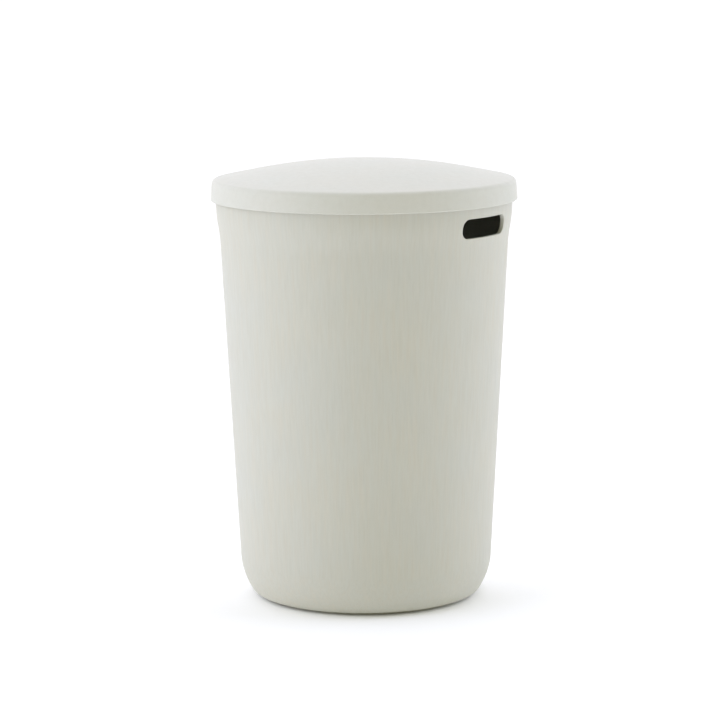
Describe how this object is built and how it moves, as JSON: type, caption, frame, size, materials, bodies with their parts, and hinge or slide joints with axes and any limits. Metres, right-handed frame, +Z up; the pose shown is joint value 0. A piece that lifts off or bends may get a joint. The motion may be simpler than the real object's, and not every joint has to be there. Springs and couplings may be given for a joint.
{
  "type": "laundry hamper with lid",
  "caption": "Round tapered laundry hamper, a one-piece moulded shell with grip slots under the rim, and a domed lift-off lid whose skirt hangs over the rim.",
  "frame": {"origin": "centre of the foot ring, on the floor", "axes": "+Z up along the axis of the hamper, +X and -X through the middles of the two grip slots"},
  "size_m": [0.3998, 0.3998, 0.5752],
  "materials": {
    "body_composite": "matt moulded fibre composite with a fine upright grain",
    "lid_composite": "matt moulded fibre composite, smooth"
  },
  "bodies": {
    "hamper": {"hamper_body": "body_composite"},
    "lid": {"lift_off_lid": "lid_composite"}
  },
  "joints": [
    {"name": "lid_lift", "type": "slide", "parent": "hamper", "child": "lid", "axis": [0, 0, 1], "range_m": [0, 0.25]}
  ]
}
